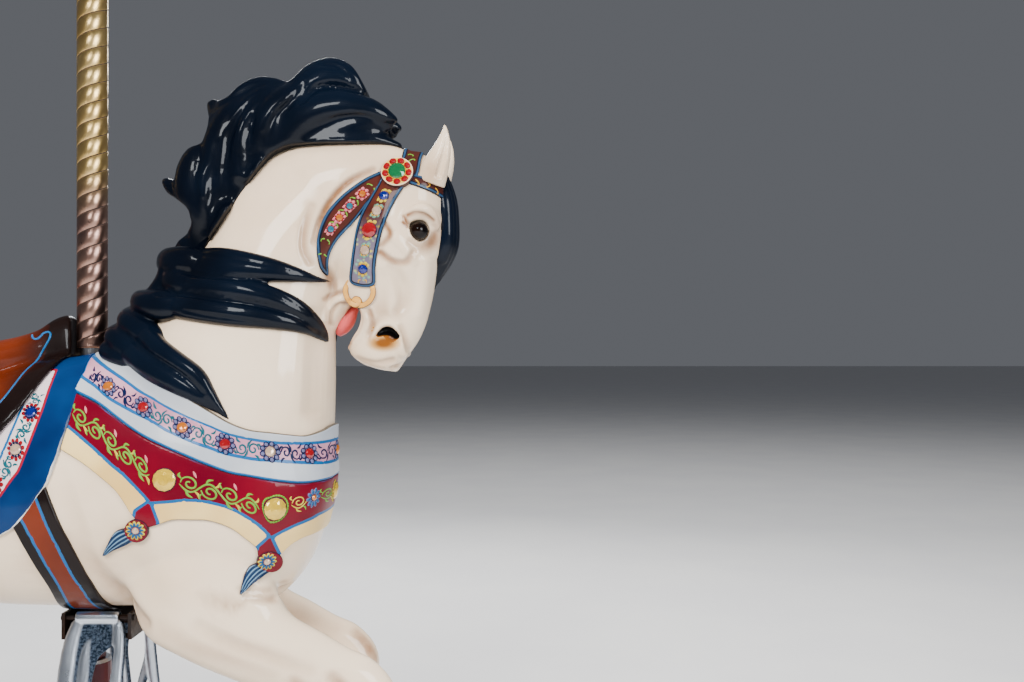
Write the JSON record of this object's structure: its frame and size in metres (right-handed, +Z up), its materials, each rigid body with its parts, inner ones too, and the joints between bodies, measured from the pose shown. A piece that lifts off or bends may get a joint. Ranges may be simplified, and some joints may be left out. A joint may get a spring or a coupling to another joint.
{
  "type": "carousel horse on its pole",
  "caption": "Jumping carousel horse with saddle and harness on a twisted brass pole, which slides up and down in a floor post; hinged foot rests hang under the belly.",
  "frame": {"origin": "centre of the floor flange's underside, on the deck, under the pole", "axes": "+Z up along the pole, +X the way the horse faces, -Y the horse's right side, which faces the public"},
  "size_m": [1.4091, 0.3688, 2.408],
  "materials": {
    "cream_enamel": "gloss enamel over carved wood, shaded brown in the hollows",
    "black_enamel": "gloss enamel over carved wood",
    "brown_enamel": "gloss enamel over carved wood",
    "blue_enamel": "gloss enamel over carved wood",
    "white_enamel": "gloss enamel over carved wood",
    "crimson_enamel": "gloss enamel over carved wood",
    "tassel_enamel": "gloss enamel over carved wood",
    "pink_enamel": "gloss enamel over carved wood",
    "dark_glass": "polished",
    "jewel_glass": "faceted",
    "brass": "polished, spirally fluted",
    "steel": "bright drawn",
    "maroon_paint": "gloss",
    "black_iron": "painted black",
    "cast_aluminium": "as cast, polished on the edges"
  },
  "bodies": {
    "floor_post": {"floor_flange": "black_iron", "floor_tube": "maroon_paint", "guide_bush": "steel"},
    "horse": {"lower_rod": "maroon_paint", "pole": "steel", "brass_sleeve": "brass", "hanger_eye": "steel", "trunk": "cream_enamel", "neck": "cream_enamel", "head": "cream_enamel", "right_foreleg": "cream_enamel", "left_foreleg": "cream_enamel", "right_hind_leg": "cream_enamel", "left_hind_leg": "cream_enamel", "right_fore_hoof": "brown_enamel", "left_fore_hoof": "brown_enamel", "right_hind_hoof": "brown_enamel", "left_hind_hoof": "brown_enamel", "right_ear": "cream_enamel", "left_ear": "cream_enamel", "right_eye": "dark_glass", "left_eye": "dark_glass", "tongue": "pink_enamel", "mane_crest": "black_enamel", "right_mane_lock": "black_enamel", "right_shoulder_lock": "black_enamel", "left_mane_lock": "black_enamel", "left_shoulder_lock": "black_enamel", "forelock": "black_enamel", "tail": "black_enamel", "saddle": "brown_enamel", "saddle_cloth": "blue_enamel", "girth": "brown_enamel", "breast_collar": "white_enamel", "breast_apron": "crimson_enamel", "right_front_tassel": "tassel_enamel", "right_rear_tassel": "tassel_enamel", "left_front_tassel": "tassel_enamel", "left_rear_tassel": "tassel_enamel", "bridle": "brown_enamel", "right_rosette": "jewel_glass", "left_rosette": "jewel_glass", "right_bit_ring": "brass", "left_bit_ring": "brass", "belly_bracket": "cast_aluminium"},
    "right_rest": {"right_foot_rest": "cast_aluminium"},
    "left_rest": {"left_foot_rest": "cast_aluminium"}
  },
  "joints": [
    {"name": "horse_rise", "type": "slide", "parent": "floor_post", "child": "horse", "axis": [0, 0, 1], "range_m": [0, 0.3]},
    {"name": "right_rest_swing", "type": "hinge", "parent": "horse", "child": "right_rest", "pos_m": [0.034, -0.056, 0.547], "axis": [-1, 0, 0], "range_deg": [0, 20]},
    {"name": "left_rest_swing", "type": "hinge", "parent": "horse", "child": "left_rest", "pos_m": [0.034, 0.056, 0.547], "axis": [1, 0, 0], "range_deg": [0, 20]}
  ]
}
